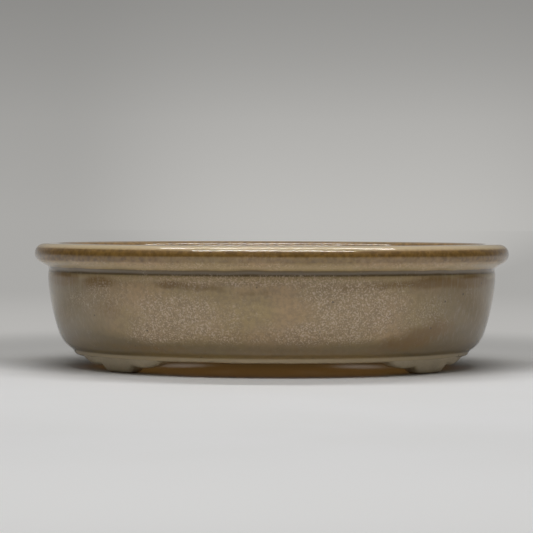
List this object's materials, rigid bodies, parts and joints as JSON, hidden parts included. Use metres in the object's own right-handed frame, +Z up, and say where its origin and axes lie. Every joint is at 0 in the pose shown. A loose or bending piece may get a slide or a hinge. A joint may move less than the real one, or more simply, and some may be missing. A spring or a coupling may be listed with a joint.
{
  "type": "bonsai pot",
  "caption": "Shallow oval bonsai pot with a rolled rim, a groove under it, a curved glazed wall, a pierced floor and lobed cloud feet.",
  "frame": {"origin": "on the ground under the middle of the pot", "axes": "+Z up, +X along the pot's length, -Y towards the front"},
  "size_m": [0.15, 0.118, 0.039],
  "materials": {
    "glaze": "gloss, olive-beige with pale crystal speckle, breaking brown along edges",
    "stoneware": "matt, unglazed, fine sandy grain",
    "foot_glaze": "satin, thin wash of glaze"
  },
  "bodies": {
    "root": {"glaze_coat": "glaze", "rim": "stoneware", "wall": "stoneware", "floor_slab": "stoneware", "foot_front_left": "foot_glaze", "foot_front_right": "foot_glaze", "foot_back_left": "foot_glaze", "foot_back_right": "foot_glaze"}
  },
  "joints": []
}
